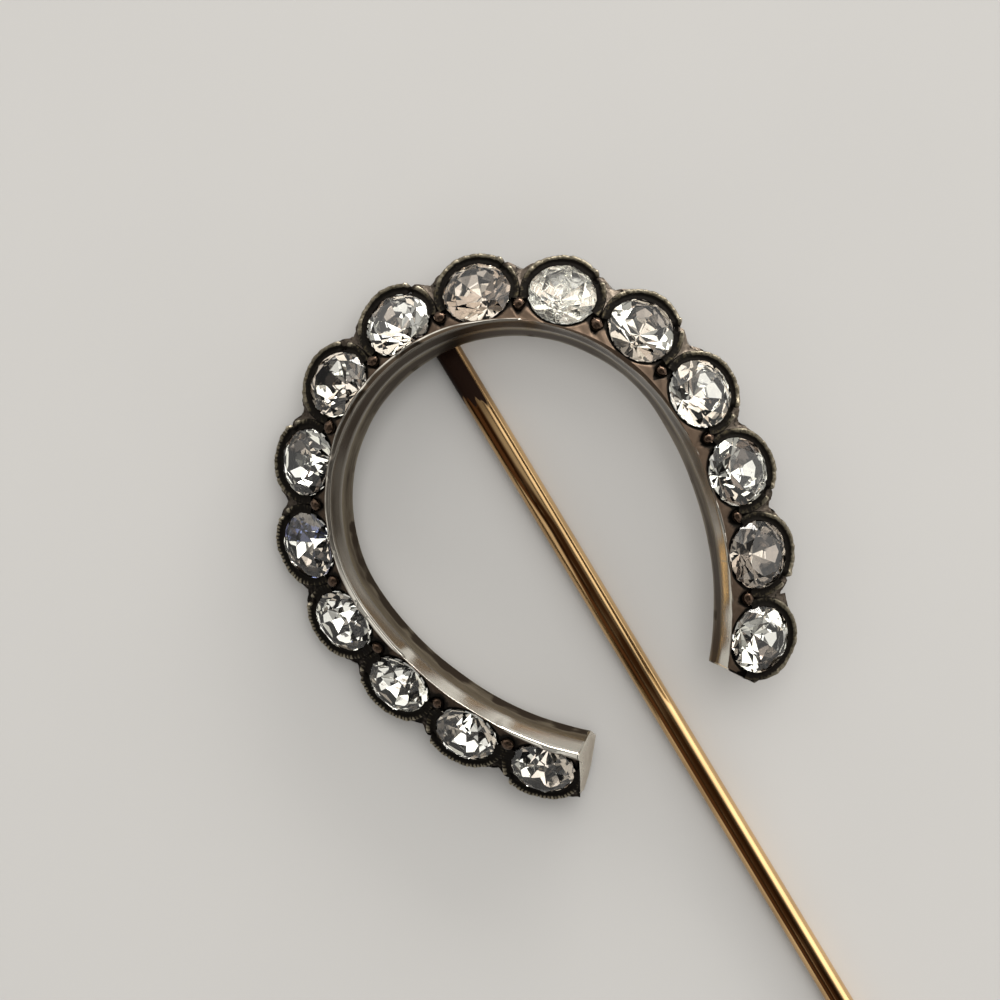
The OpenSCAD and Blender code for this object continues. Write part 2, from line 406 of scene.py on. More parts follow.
def rounded(chain, radius, steps):
    """Rows along a chain of lines, with a small round at each inner corner, and the corners' rows."""
    rows, corners = [chain[0]], []
    for before, corner, after in zip(chain, chain[1:], chain[2:]):
        back = before - corner
        on = after - corner
        back = back / np.linalg.norm(back, axis=0)
        on = on / np.linalg.norm(on, axis=0)
        start, last = corner + radius * back, rows[-1]
        for step in range(1, steps):
            rows.append(last + (start - last) * step / steps)
        corners.append(len(rows) + 1)
        rows += [start, corner + ROUND_MIDDLE * radius * (back + on), corner + radius * on]
    last = rows[-1]
    for step in range(1, steps + 1):
        rows.append(last + (chain[-1] - last) * step / steps)
    return np.stack(rows), corners


# Places along the row, then how bright the upper and the lower facet are there: partly worn polish and
# partly painted reflection, with a painted highlight strip on the upper facet at the right end
WALL_POLISH_AND_SHEEN = np.array([
    [-27, 0.6, 0.3], [-24, 0.85, 0.25], [-14, 0.9, 0.22], [-10, 0.16, 0.14], [-6, 0.05, 0.12],
    [-2, -0.06, 0.0], [3, -0.1, -0.06], [9, -0.06, -0.03], [13, 0.1, 0.08], [17, 0.14, 0.12],
    [19, 0.35, 0.05], [20.5, 1.0, -0.05], [27, 1.0, 0.0]
])


def wall_polish_and_sheen(s):
    """How bright the upper and the lower facet of the inner wall are along the row: partly polish, partly
    painted reflection and highlight.
    """
    upper, lower = (np.interp(s, WALL_POLISH_AND_SHEEN[:, 0], values) for values in WALL_POLISH_AND_SHEEN[:, 1:].T)
    return upper + 0.05 * wobble(s, *UPPER_WAVE), lower + 0.04 * wobble(s, *LOWER_WAVE)


# The wall's lap over the stones, and the reach over which it begins
LAP_H = 0.03
LAP_THICK = 0.03
LAP_DEPTH = 0.04
LAP_FADE = 0.06
LAP_BEGINS = (0.02, 0.1)
LAP_LEAST_H = 0.08


def over_stones(s, rim):
    """Height above the front face at which the wall's rim laps the crowns of the stones."""
    from_stone = ((s / PITCH + 0.5) % 1 - 0.5) * PITCH
    cover = np.maximum(STONE_R - np.hypot(from_stone, rim / math.cos(SLOPE)), 0)
    height = GIRDLE_H / 2 + cover * CROWN_SLOPE + LAP_H
    return height * smooth(0.0, LAP_FADE, cover) / math.cos(SLOPE)


def seams(s):
    """Hair lines across the wall where the strip of silver was joined."""
    return sum(bell(s - place, SEAM_W) for place in SEAM_PLACES)


# Lines along the band: the fold under its rim, and how far they stray
FOLD_SHARE = 0.15
FOLD_OFF = 0.02
FOLD_H = 0.05
RIDGE_STRAY = 0.05
RIDGE_SLANT = 1.3
BELLY_STRAY = 0.02
LEDGE_START = 0.01

# How bright the band's edges and back are rubbed, and how dark its streaks are
BACK_WEAR = 0.3
RIM_WEAR = 0.5
FOLD_WEAR = 0.2
RIDGE_WEAR = 0.36
FOOT_BEGINS = (-7, -12)
STREAK_BEGINS = (0.1, 0.9)
STREAK_STAIN = 0.6
SEAM_STAIN = 0.7


def add_band(shell):
    """The inner wall with its two facets, the bevel, the back and the outer face."""
    u = np.linspace(-1, 1, BAND_COLUMNS)
    s = along_band(u, np.full_like(u, RIM_OFF), RIM_Z)

    def line(off, z):
        return np.stack([off + 0 * s, z + 0 * s])

    rim = RIM_OFF + rim_shift(s)
    tilt = RIDGE_STRAY * wobble(s, *RIDGE_WAVE)
    lapping = smooth(*LAP_BEGINS, rim - RIM_OFF)
    rim_z = -rim * math.tan(SLOPE) + np.maximum(over_stones(s, rim), LAP_LEAST_H * lapping)
    rim_line = line(rim, rim_z)
    ridge_line = line(RIDGE_OFF + tilt, RIDGE_Z + RIDGE_SLANT * tilt)
    fold_line = rim_line + FOLD_SHARE * (ridge_line - rim_line)
    fold_line = fold_line + lapping * (line(RIM_OFF - FOLD_OFF, RIM_Z + FOLD_H) - fold_line)
    belly_line = line(BELLY_OFF + BELLY_STRAY * wobble(s, *BELLY_WAVE), BELLY_Z)
    bevel_line = line(BELLY_OFF + BEVEL_W, -BACK_DEPTH)
    outside = band_reach(s)
    foot_line = line(outside, -BACK_DEPTH)
    brow_line = line(outside, -outside * math.tan(SLOPE))
    start = np.maximum(RIM_OFF + LEDGE_START, rim + LAP_THICK)
    start_line = line(start, np.maximum(-start * math.tan(SLOPE), rim_z - LAP_DEPTH))
    chain = [start_line, rim_line, fold_line, ridge_line, belly_line, bevel_line, foot_line, brow_line]
    rows, corners = rounded(chain, EDGE_ROUND, BAND_STEPS)
    off, z = rows[:, 0], rows[:, 1]
    middle = rows[:, :, len(u) // 2]
    width = np.concatenate([[0], np.cumsum(np.linalg.norm(np.diff(middle, axis=0), axis=1))])
    places = grid(s, width[:, None], 0.0)
    points = band_point(along_band(u[None], off, z), off, z)
    # The facets' wear carries their polish and their painted reflection and highlight
    upper, lower = wall_polish_and_sheen(s)
    rim_row, fold_row, ridge_row, belly_row = corners[:4]
    wear = np.zeros(off.shape)
    wear[rim_row:ridge_row] = upper
    wear[ridge_row:belly_row] = lower
    wear[belly_row - 1:] = BACK_WEAR
    wear[rim_row - 1:rim_row + 2] = RIM_WEAR + 0.3 * wobble(s, *RUBBED_WAVE)
    wear[fold_row - 1:fold_row + 2] = np.maximum(FOLD_WEAR, upper)
    wear[ridge_row - 1:ridge_row + 2] = RIDGE_WEAR
    stain = np.zeros(off.shape)
    dark_foot = smooth(*FOOT_BEGINS, s) * (0.75 + 0.25 * wobble(s, *FOOT_WAVE))
    across = np.linspace(0, 1, belly_row - ridge_row - 1)[1:, None]
    streaks = STREAK_STAIN * smooth(*STREAK_BEGINS, wobble(s, *STREAK_WAVE))
    stain[ridge_row + 2:belly_row] = smooth(0.25, 0.6, across) * dark_foot + streaks * across
    stain[rim_row + 2:ridge_row - 1] = SEAM_STAIN * seams(s)
    marks = [0, rim_row, ridge_row, belly_row, len(rows) - 1]
    for finish, first, last in zip((LEDGE, WALL_UPPER, WALL_LOWER, BACK), marks, marks[1:]):
        here = slice(first, last + 1)
        shell.sheet(points[here], places[here], finish, wear[here], stain[here])
    for side, column in ((-1, 0), (1, -1)):
        add_end(shell, side, off[:, column], z[:, column])


def end_corner(side, v):
    """A corner of an end stone's share of the front face, by its distance down the slope."""
    reach = end_reach(side, v * math.cos(SLOPE), -v * math.sin(SLOPE))
    return [side * float(reach), v]


def share_corners(index):
    """The outline of a stone's share of the front face, the right side from inside out first."""
    low = (RIM_OFF - 0.002) / math.cos(SLOPE)
    half = PITCH / 2
    x = half - np.array([0.0, 0.12, 0.24, 0.37, VALLEY_W])
    right = np.stack([x, band_reach(stone_place(index) + x) / math.cos(SLOPE)], -1)
    right = np.vstack([[half, low], right])
    left = (right * [-1, 1])[::-1]
    end = [low, 0.0, BAND_OUT / math.cos(SLOPE)]
    if index == STONE_COUNT - 1:
        right = np.array([end_corner(1, v) for v in end])
    if index == 0:
        left = np.array([end_corner(-1, v) for v in reversed(end)])
    return np.vstack([right, left])


def share_edge(corners, angle):
    """Distance from a stone's axis to the edge of its share."""
    reach = np.full(np.shape(angle), np.inf)
    ray = np.stack([np.cos(angle), np.sin(angle)], -1)
    for a, b in zip(corners, np.roll(corners, -1, axis=0)):
        edge = b - a
        cross = ray[..., 0] * edge[1] - ray[..., 1] * edge[0]
        cross = np.where(np.abs(cross) < 1e-9, 1e-9, cross)
        far = (a[0] * edge[1] - a[1] * edge[0]) / cross
        share = (a[0] * ray[..., 1] - a[1] * ray[..., 0]) / cross
        hit = (far > 0) & (share > -1e-6) & (share < 1 + 1e-6)
        reach = np.where(hit & (far < reach), far, reach)
    return np.maximum(reach, SEAT_R + 0.01)


# Grains stand further in than the solids' grains, most of all at the right shoulder
FURTHER_IN = 0.08
SHOULDER_IN = 0.24
SHOULDER_W = 2.5
BRIGHT_SHOULDER_W = 4.5

# Distances over which the forms and the finish of the front face begin
GROOVE_ENDS = (0.02, 0.12)
FIELD_RISES = (-0.1, 1.1)
FIELD_BEGINS = (0, 0.25)
RELIEF_BEGINS = (0, 0.3)
GRIT_BEGINS = (-0.2, 0.5)
SOOT_BEGINS = (-1.0, 0.2)
LEFT_LIMB_BEGINS = (-6, -12)
SOOT_R = 0.62
FACE_H = 0.02
MOST_FACE_STAIN = 1.5


def grain_in(s):
    return GRAIN_IN + FURTHER_IN + SHOULDER_IN * shoulder(s, SHOULDER_W)


def front_relief(s, v, from_axis):
    """Height, wear and stain of the front face: pits round the grains, and worn fields."""
    between = from_valley(s)
    from_seat = from_axis - SEAT_R
    from_grain = np.hypot(between, v + grain_in(s))
    pit = 1 - smooth(PIT_R - PIT_EDGE, PIT_R, from_grain)
    groove = 1 - smooth(*GROOVE_ENDS, from_seat)
    field = smooth(*FIELD_RISES, v) * smooth(*FIELD_BEGINS, from_seat)
    valley = 1 - smooth(0.0, VALLEY_W, between)
    height = FIELD_H * field * (1 - 0.8 * valley) - PIT_DEPTH * pit - GROOVE_DEPTH * groove
    away = smooth(*RELIEF_BEGINS, from_seat)
    height = height + FACE_H * wobble(s * 1.3 + v * 2.1, *FACE_WAVE) * away
    grit = wobble(s * 1.7 - v, *FINE_GRIT_WAVE) * wobble(s + 2.3 * v, *GRIT_WAVE)
    height = height + GRIT_H * grit * away * smooth(*GRIT_BEGINS, v)
    # The left limb's front face is darker: partly tarnish and partly painted shade
    left = smooth(*LEFT_LIMB_BEGINS, s)
    bright = 0.22 + 0.4 * shoulder(s, BRIGHT_SHOULDER_W)
    wear = bright - 0.25 * left - 0.3 * groove + 0.5 * grit * field
    wear = np.clip(wear, 0, 1)
    soot_and_shade = 0.9 * bell(from_grain, SOOT_R, 4) + 0.35 * left + 0.3 * smooth(*SOOT_BEGINS, v)
    soot_and_shade = soot_and_shade + 0.35 * field * wobble(s * 2 + v, *SOOT_WAVE)
    stain = np.clip(pit + groove + soot_and_shade, 0, MOST_FACE_STAIN)
    return height, wear, stain


# How the rings gather at the seat, and the sine of the angle where the ledge ends
RING_GATHER = 1.25
FIELD_STARTS = -0.35


def add_front(shell):
    """The front face round each stone, cut in one share for each stone."""
    rings = np.linspace(0, 1, FRONT_RINGS) ** RING_GATHER
    turns = once_round(FRONT_ANGLES)
    for index in range(STONE_COUNT):
        middle = stone_place(index)
        corners = share_corners(index)
        corner_angles = np.arctan2(corners[:, 1], corners[:, 0])
        angle = np.sort(np.concatenate([turns, corner_angles]))
        reach = share_edge(corners, angle)
        r = SEAT_R + rings[:, None] * (reach - SEAT_R)
        x, v = r * np.cos(angle), r * np.sin(angle)
        height, wear, stain = front_relief(middle + x, v, r)
        flat = smooth(0.0, 1.0, rings)[:, None, None]
        near = stone_point(middle, x, v, height)
        points = (1 - flat) * near + flat * slope_point(middle + x, v, height)
        places = grid(middle + x, v, height)
        finish = np.where(np.sin(angle) > FIELD_STARTS, FIELD, LEDGE)
        shell.sheet(points, places, finish, wear, stain, closed=True)


# Depth and radius of each row of a cup, which ends in a small round tip
CUP_ROWS = np.array([
    [-0.06, SEAT_R], [-0.2, SEAT_R - 0.02], [-GIRDLE_H / 2 - PAVILION_H - 0.04, 0.06]
])


def add_cup(shell, index):
    """The seat under a stone."""
    angle = once_round(CUP_ANGLES)
    depth, r = CUP_ROWS.T[:, :, None]
    x, y = r * np.cos(angle), r * np.sin(angle)
    points = stone_point(stone_place(index), x, y, depth + 0 * x)
    shell.sheet(points, points, CUP, closed=True)


# How far the blackened lip of a rim covers its stone, and where along the row it covers more; its black is
# partly dirt and partly a painted shadow of the rim over the stone's edge
LIP_COVER = 0.05
LIP_OUTSIDE = 0.11
LIP_ARCH = 0.1
LIP_FOOT = 0.04
LIP_STRAY = 0.03
LIP_MOST = 0.32
FOOT_LIPS = (-12, -18)
ARCH_LIPS = (14, 9)


def rim_lip(index, angle):
    """Radius where the blackened rim begins over the edge of its stone, widest outside: partly dirt and
    partly painted shadow.
    """
    middle = stone_place(index)
    outside = np.clip(np.sin(angle), 0, 1)
    foot = smooth(*FOOT_LIPS, middle)
    arch = smooth(*ARCH_LIPS, middle)
    cover = LIP_COVER + (LIP_OUTSIDE + LIP_ARCH * arch) * outside ** 0.7 + LIP_FOOT * foot
    cover = cover + LIP_STRAY * wobble(angle, *LIP_WAVE, index) * (0.3 + outside)
    return STONE_R - np.clip(cover, 0.0, LIP_MOST)


# Radius, height, wear, share of the milling and stain of each row of a rim past its lip; the black of the
# first rows is partly dirt and partly painted shade in the groove by the stone
RIM_PROFILE = np.array([
    [1.435, 0.09, 0.0, 0.0, 1.6],
    [1.48, 0.10, 0.0, 0.0, 1.6],
    [1.505, 0.15, 0.1, 0.1, 1.2],
    [1.535, 0.19, 0.3, 0.3, 0.45],
    [1.58, 0.21, 0.4, 0.5, 0.25],
    [1.63, 0.22, 0.5, 0.8, 0.2],
    [1.68, 0.215, 0.7, 1.0, 0.1],
    [1.71, 0.185, 0.75, 1.0, 0.15],
    [1.73, 0.12, 0.45, 0.6, 0.5],
    [1.735, 0.04, 0.2, 0.2, 0.8],
    [1.73, -0.08, 0.1, 0.0, 0.9]
])

# Place from the notch, and width, of the two lumps that its cut pushed up
LUMPS = ((0.3, 0.12), (-0.31, 0.13))
LEFT_RIMS = (-2, -10)
MOST_STAIN = 1.6
RIM_WALL_WEAR = 0.15
RIM_WALL_STAIN = 0.75
RIM_FOOT_H = -0.3


def add_rim(shell, index):
    """The raised rim round the outside of a stone: a dark lip, a milled edge and a cut notch."""
    middle = stone_place(index)
    angle = np.linspace(-RIM_SWEEP, math.pi + RIM_SWEEP, RIM_COLUMNS)
    arc = angle * SCALLOP_R
    chance = np.random.default_rng(RIM_SEED + index)
    left = float(smooth(*LEFT_RIMS, middle))
    lip = rim_lip(index, angle)
    crown = GIRDLE_H / 2 + (STONE_R - lip) * CROWN_SLOPE
    beads = np.sqrt(np.abs(np.sin(math.pi * arc / BEAD_PITCH + chance.uniform(0, 3)))) - 0.6
    worn_beads = 0.4 * wobble(angle, *WORN_BEAD_WAVE, index) * (1 - 0.5 * left)
    beads = beads * (0.15 + 0.85 * left) + worn_beads
    fade = smooth(*RIM_FADE, angle) * smooth(*RIM_FADE, math.pi - angle)
    notch_angle = math.radians(NOTCH_ANGLE + NOTCH_STRAY * chance.uniform(-1, 1))
    from_notch = (angle - notch_angle) * RIDGE_R
    notched = index < STONE_COUNT - 1
    notch = notched * bell(from_notch, NOTCH_W, 4)
    lumps = notched * sum(bell(from_notch - place, width) for place, width in LUMPS)
    r, h, wear, milled, stain = (column[:, None] for column in RIM_PROFILE.T)
    uneven = 0.03 * wobble(angle, *RIM_HEIGHT_WAVE, index)
    uneven = uneven + 0.02 * wobble(angle, *FINE_HEIGHT_WAVE, index)
    raised = smooth(0.0, 0.15, h)
    height = h * (1 - 0.8 * raised * (1 - fade)) + milled * BEAD_H * beads * fade + raised * uneven
    height = height - NOTCH_DEPTH * notch * smooth(-0.1, 0.1, h) + LUMP_H * lumps * raised
    radius = r + 0.3 * milled * BEAD_H * beads * fade
    radius = radius + 0.02 * wobble(angle, *RIM_REACH_WAVE, index) * smooth(1.5, 1.7, r)
    radius = radius - 0.05 * notch * (r > 1.6)
    wear = wear * (0.15 + 0.35 * fade) * (1 - 0.6 * left) + milled * beads * (0.25 + 1.1 * left) * fade
    wear = wear + 0.35 * lumps * milled
    stain = stain + 0.5 * (1 - fade) + notch + left * (0.1 + 0.9 * (0.25 - beads)) * raised
    stain = stain - 0.4 * lumps * milled
    lip_rows = np.stack([lip, lip + LIP_W])
    lip_height = np.stack([crown + LIP_H, np.maximum(crown + 0.02, 0.04)])
    foot_h = (-BACK_DEPTH + radius[-1] * np.sin(angle) * math.sin(SLOPE)) / math.cos(SLOPE)
    foot_h = np.where(np.sin(angle) > 0.3, foot_h, RIM_FOOT_H)
    steps = np.linspace(0, 1, RIM_WALL_ROWS)[1:, None]
    wall_h = height[-1] + (foot_h - height[-1]) * steps
    wall_r = np.broadcast_to(radius[-1], wall_h.shape)
    height = np.concatenate([lip_height, height, wall_h])
    radius = np.concatenate([lip_rows, radius, wall_r])
    lip_one, wall_one = np.ones_like(lip_rows), np.ones_like(wall_h)
    wear = np.concatenate([0 * lip_one, np.clip(wear, 0, 1), RIM_WALL_WEAR * wall_one])
    stain = np.clip(stain, 0, MOST_STAIN)
    # The lip is painted fully black: dirt and painted shadow over the stone's edge
    stain = np.concatenate([MOST_STAIN * lip_one, stain, RIM_WALL_STAIN * wall_one])
    x, y = radius * np.cos(angle), radius * np.sin(angle)
    if index == 0:
        off = y * math.cos(SLOPE) + height * math.sin(SLOPE)
        z = height * math.cos(SLOPE) - y * math.sin(SLOPE)
        x = np.maximum(x, 0.01 - end_reach(-1, off, z))
    points = stone_point(middle, x, y, height)
    places = grid(middle + arc, radius + height, height)
    shell.sheet(points, places, RIM, wear, stain)


def add_grain(shell, index):
    """A bead of metal between two stones, raised out of its pit and pushed over their edges."""
    middle = stone_place(index - 0.5)
    chance = np.random.default_rng(GRAIN_SEED + index)
    turn = once_round(GRAIN_COLUMNS)
    rise = np.linspace(-0.9, math.pi / 2, GRAIN_ROWS)[:, None]
    size = GRAIN_R * chance.uniform(0.85, 1.08)
    lump = 1 + 0.08 * np.sin(2 * turn + chance.uniform(0, 6)) + 0.05 * np.sin(3 * turn + 4 * rise)
    x = size * lump * np.cos(rise) * np.cos(turn)
    y = size * lump * np.cos(rise) * np.sin(turn) * chance.uniform(0.85, 1.0)
    h = size * (0.9 * np.sin(rise) - 0.25) + 0 * turn
    points = stone_point(middle, x, y - grain_in(middle), h)
    places = grid(x + middle, y, h)
    height = np.sin(rise)
    shell.sheet(points, places, GRAIN, height.clip(0, 1), smooth(0.5, -0.2, height), closed=True)


# Shares of a cut end's outline at its rows, and a place of its own for its tarnish
END_SHARES = np.array([[1.0, 0.96, 0.8, 0.5, 0.2, 0.0]]).T
END_PLACE = 40


def add_end(shell, side, edge_off, edge_z):
    """The flat slanted cut at the end of a limb, inside the outline that the band ends in."""
    down_front = np.linspace(edge_off[-1], edge_off[0], END_COLUMNS)
    edge_off = np.concatenate([edge_off, down_front])
    edge_z = np.concatenate([edge_z, -down_front * math.tan(SLOPE)])
    middle_off = (BELLY_OFF + BAND_OUT) / 2
    off = middle_off + END_SHARES * (edge_off - middle_off)
    z = MID_Z + END_SHARES * (edge_z - MID_Z)
    s = side * (LAST_STONE + end_reach(side, off, z) / (1 + off / limb_radius(side)))
    places = grid(off + END_PLACE, z, 0.0)
    wear = 0.55 + 0.4 * smooth(0.85, 1.0, END_SHARES) + 0.3 * z
    shell.sheet(band_point(s, off, z), places, LIMB_END, np.clip(wear, 0, 1), closed=True)


def setting_mesh():
    shell = Shell()
    add_band(shell)
    add_front(shell)
    for index in range(STONE_COUNT):
        add_cup(shell, index)
        add_rim(shell, index)
    for index in range(1, STONE_COUNT):
        add_grain(shell, index)
    return shell.mesh("horseshoe_setting", HEAD)


# The stones
GLASS, FOIL = range(2)

# How far the corners of a stone stray from an even cut, at the crown and at the pavilion
CROWN_LOOSE = 0.05
PAVILION_LOOSE = 0.07


def stone_mesh(name, index):
    """Old-cut round paste: table, stars, kites and halves over a foiled pavilion."""
    chance = np.random.default_rng(STONE_SEED + index)
    mains = 8
    half_turn = math.pi / mains
    top = GIRDLE_H / 2 + CROWN_H
    low = -GIRDLE_H / 2 - PAVILION_H
    star_r = TABLE_R + (STONE_R - TABLE_R) * STAR_SHARE
    star_h = top - (star_r * math.cos(half_turn) - TABLE_R) * CROWN_SLOPE
    half_r = STONE_R * HALF_SHARE
    half_h = low + half_r * math.cos(half_turn) * PAVILION_H / STONE_R
    spin = math.radians(STONE_SPIN * index)

    def ring(r, h, count, first, loose):
        turn = spin + first + np.arange(count) * 2 * math.pi / count + chance.uniform(-loose, loose, count)
        reach = r * (1 + chance.uniform(-loose, loose, count) * 0.6)
        return [[q * math.cos(t), q * math.sin(t), h] for q, t in zip(reach, turn)]

    culet = [*chance.uniform(-CULET_R, CULET_R, 2), low]
    rings = (
        (TABLE_R, top, mains, 0, CROWN_LOOSE),
        (star_r, star_h, mains, half_turn, CROWN_LOOSE),
        (STONE_R, GIRDLE_H / 2, 2 * mains, 0, 0),
        (STONE_R, -GIRDLE_H / 2, 2 * mains, 0, 0),
        (half_r, half_h, mains, half_turn, PAVILION_LOOSE),
    )
    local = np.array([corner for row in rings for corner in ring(*row)] + [culet])
    star, upper, lower, half, point = (mains * k for k in (1, 2, 4, 6, 7))
    faces = [list(range(mains))]
    for k in range(mains):
        after, before = (k + 1) % mains, (k - 1) % mains
        faces.append([k, star + k, after])
        faces.append([k, star + before, upper + 2 * k, star + k])
        faces.append([star + k, upper + 2 * k, upper + 2 * k + 1])
        faces.append([star + k, upper + 2 * k + 1, upper + 2 * after])
    for j in range(2 * mains):
        beyond = (j + 1) % (2 * mains)
        faces.append([upper + j, lower + j, lower + beyond, upper + beyond])
    crown_count = len(faces)
    for k in range(mains):
        after, before = (k + 1) % mains, (k - 1) % mains
        faces.append([half + k, lower + 2 * k + 1, lower + 2 * k])
        faces.append([half + k, lower + 2 * after, lower + 2 * k + 1])
        faces.append([half + k, lower + 2 * k, half + before, point])
    points = stone_point(stone_place(index), local[:, 0], local[:, 1], local[:, 2])
    mesh = bpy.data.meshes.new(name)
    mesh.from_pydata(points.tolist(), [], faces)
    mesh.transform(HEAD)
    form = bmesh.new()
    form.from_mesh(mesh)
    bmesh.ops.recalc_face_normals(form, faces=form.faces)
    form.to_mesh(mesh)
    form.free()
    finish = [GLASS] * crown_count + [FOIL] * (len(faces) - crown_count)
    mesh.polygons.foreach_set("material_index", finish)
    tone = mesh.attributes.new("foil_tone", "FLOAT", "FACE")
    tone.data.foreach_set("value", chance.uniform(0, 1, len(faces)).astype(np.float32))
    return mesh


# The stem
# Length from the head, then the first and last angle of the dark band, from the top in degrees; the band is
# partly tarnish and partly a painted dark reflection
TARNISH_AND_REFLECTION_BAND = np.array([
    [5, -45, -5], [8, -40, -2], [11, -18, 14], [15, -36, 14]
])
BAND_EDGE = 0.12
# Place and width of a painted highlight line inside the dark band
HIGHLIGHT_LINE_PLACE = 0.45
HIGHLIGHT_LINE_W = 0.05

# Share of the radius, ridges, turn along the stem and first angle of each drawn wave
DRAWN_WAVES = ((0.001, 5, 0.02, 0), (0.0006, 11, 0.05, 1))


def stem_wear_and_painted_reflection(turn, length):
    """Bright gold with a dark band left along the top, partly tarnish and partly painted reflection, a
    painted highlight line in it, a painted dark reflection down the left side, and a dull length near the
    solder.
    """
    lengths, firsts, lasts = TARNISH_AND_REFLECTION_BAND.T
    first = np.interp(length, lengths, np.radians(firsts))
    last = np.interp(length, lengths, np.radians(lasts))
    begun = smooth(first - BAND_EDGE, first + BAND_EDGE, turn)
    band = begun * smooth(last + BAND_EDGE, last - BAND_EDGE, turn)
    # A painted highlight line inside the dark band
    line = smooth(HIGHLIGHT_LINE_W, 0.0, np.abs(turn - first - HIGHLIGHT_LINE_PLACE * (last - first)))
    # A painted dark reflection down the left side of the wire
    side = smooth(-0.2, -0.6, turn)
    wear = 0.9 - 0.35 * side - 0.95 * band + 0.25 * line + 0.1 * wobble(length, *GOLD_WAVE)
    return wear * (0.35 + 0.65 * smooth(SOLDER_END - 1.0, SOLDER_END + 1.5, length))


def stem_mesh():
    """Drawn wire, filed flat where it is soldered on, and tapered to its point."""
    length = np.concatenate([
        np.linspace(0, FLAT_LENGTH, STEM_ROWS[0])[:-1],
        np.linspace(FLAT_LENGTH, PIN_LENGTH - TAPER_LENGTH, STEM_ROWS[1])[:-1],
        np.linspace(PIN_LENGTH - TAPER_LENGTH, PIN_LENGTH, STEM_ROWS[2])
    ])[:, None]
    turn = once_round(STEM_COLUMNS)
    ends = [0, NECK_LENGTH, PIN_LENGTH - TAPER_LENGTH, PIN_LENGTH]
    radius = np.interp(length, ends, [NECK_R, PIN_R, PIN_R, POINT_R])
    drawn = sum(h * np.sin(count * turn + twist * length + start) for h, count, twist, start in DRAWN_WAVES)
    radius = radius * (1 - DRAWN_UNDER + drawn)
    x, z = radius * np.sin(turn), radius * np.cos(turn)
    roll = math.asin(-HEAD.to_3x3().normalized().col[2].x)
    rise = -x * math.sin(roll) + z * math.cos(roll)
    filed = (length < FLAT_LENGTH - 1e-6) & (rise > NECK_R - FLAT_DEPTH)
    drop = np.where(filed, rise - (NECK_R - FLAT_DEPTH), 0)
    x = x + drop * math.sin(roll)
    z = z - drop * math.cos(roll)
    points = grid(x, -length, z)
    axis = [0, 1, 0]
    points = np.concatenate([points[:1] * axis, points, points[-1:] * axis])
    length = np.concatenate([length[:1], length, length[-1:]])
    places = grid(turn * NECK_R, length, 0.0)
    ragged = SOLDER_END + SOLDER_RAGGED * wobble(turn * NECK_R, *SOLDER_WAVE) + 0.5 * np.sin(turn)
    stain = 1.4 * smooth(0.3, -0.5, length - ragged)
    stain = stain * (1 - 0.75 * smooth(0.35, 0.7, np.sin(turn)))
    wear = stem_wear_and_painted_reflection(turn, length)
    shell = Shell()
    shell.sheet(points, places, 0, wear, stain, closed=True)
    return shell.mesh("pin_stem", Matrix.Translation(stem_top()) @ Matrix.Scale(MM, 4))


# Materials
class Nodes:
    """Adds nodes to a tree, and joins them, by name."""

    def __init__(self, tree):
        self.tree = tree
        self.tree.nodes.clear()

    def add(self, kind, inputs=None, **settings):
        node = self.tree.nodes.new("ShaderNode" + kind)
        for name, value in settings.items():
            setattr(node, name, value)
        for name, value in (inputs or {}).items():
            socket = node.inputs[name]
            if isinstance(value, bpy.types.NodeSocket):
                self.tree.links.new(value, socket)
            else:
                socket.default_value = value
        return node

    def math(self, operation, a, b=0.0, c=0.0, clamp=False):
        node = self.add("Math", {0: a, 1: b, 2: c}, operation=operation, use_clamp=clamp)
        return node.outputs[0]

    def mix(self, share, a, b):
        return self.add("Mix", {0: share, 6: a, 7: b}, data_type="RGBA").outputs[2]

    def noise(self, place, scale, detail, rough=0.5):
        inputs = {"Vector": place, "Scale": scale, "Detail": detail, "Roughness": rough}
        return self.add("TexNoise", inputs).outputs[0]

    def step(self, low, high, value):
        node = self.add("MapRange", {0: value, 1: low, 2: high}, interpolation_type="SMOOTHSTEP")
        return node.outputs[0]


def new_group(name, inputs, outputs):
    """A shared effect, with the names and kinds of its sockets."""
    group = bpy.data.node_groups.new(name, "ShaderNodeTree")
    for way, sockets in (("INPUT", inputs), ("OUTPUT", outputs)):
        for socket, kind in sockets.items():
            group.interface.new_socket(socket, in_out=way, socket_type="NodeSocket" + kind)
    nodes = Nodes(group)
    start = group.nodes.new("NodeGroupInput")
    end = group.nodes.new("NodeGroupOutput")
    return group, nodes, start.outputs, end.inputs


def stretched(nodes, place, stretch):
    """A place on the surface, drawn out along the work."""
    split = nodes.add("SeparateXYZ", {0: place})
    along = nodes.math("DIVIDE", split.outputs[0], stretch)
    return nodes.add("CombineXYZ", {0: along, 1: split.outputs[1], 2: split.outputs[2]}).outputs[0]


STAIN_BEGINS = (0.3, 0.75)
STAIN_UNEVEN = 1.6
STAIN_ROUGH = 0.2
STAIN_COVERS = 0.9


